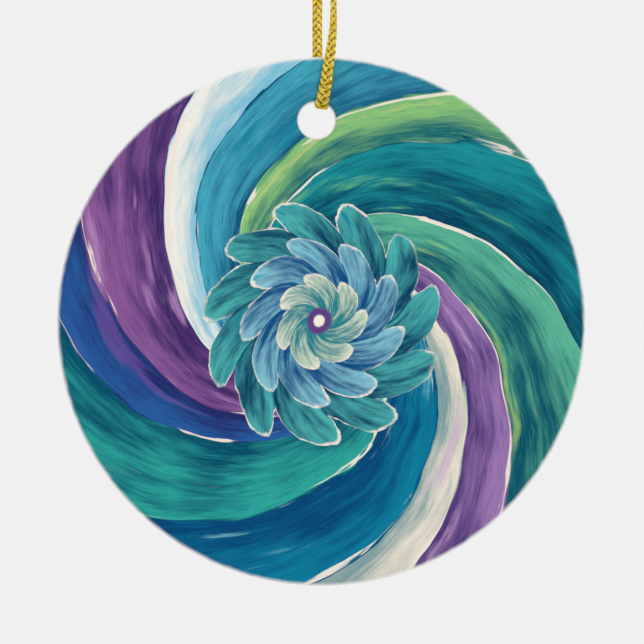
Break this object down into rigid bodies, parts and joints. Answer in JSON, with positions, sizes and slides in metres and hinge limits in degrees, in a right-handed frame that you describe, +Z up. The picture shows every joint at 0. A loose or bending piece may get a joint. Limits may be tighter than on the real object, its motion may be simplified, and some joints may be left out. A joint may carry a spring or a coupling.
{
  "type": "ceramic ornament",
  "caption": "Round thin ceramic disc with a printed swirl on its front, hanging from a knotted loop of gold braided cord through a hole near its rim.",
  "frame": {"origin": "inner top of the cord's loop, right under the knot, where a hook holds the ornament", "axes": "+Z up, -Y out of the printed front, +X to the right as the front is seen"},
  "size_m": [0.073, 0.007, 0.1236],
  "materials": {
    "printed_ceramic": "white glaze with a teal, blue and violet swirl print on the front",
    "gold_braid": "metallic gold yarn in a fine flat braid"
  },
  "bodies": {
    "hanger": {"hanging_cord": "gold_braid", "cord_knot": "gold_braid"},
    "ornament": {"ceramic_disc": "printed_ceramic"}
  },
  "joints": [
    {"name": "disc_swing", "type": "hinge", "parent": "hanger", "child": "ornament", "pos_m": [0, 0, -0.045], "axis": [0, 1, 0], "range_deg": [-45, 45]}
  ]
}
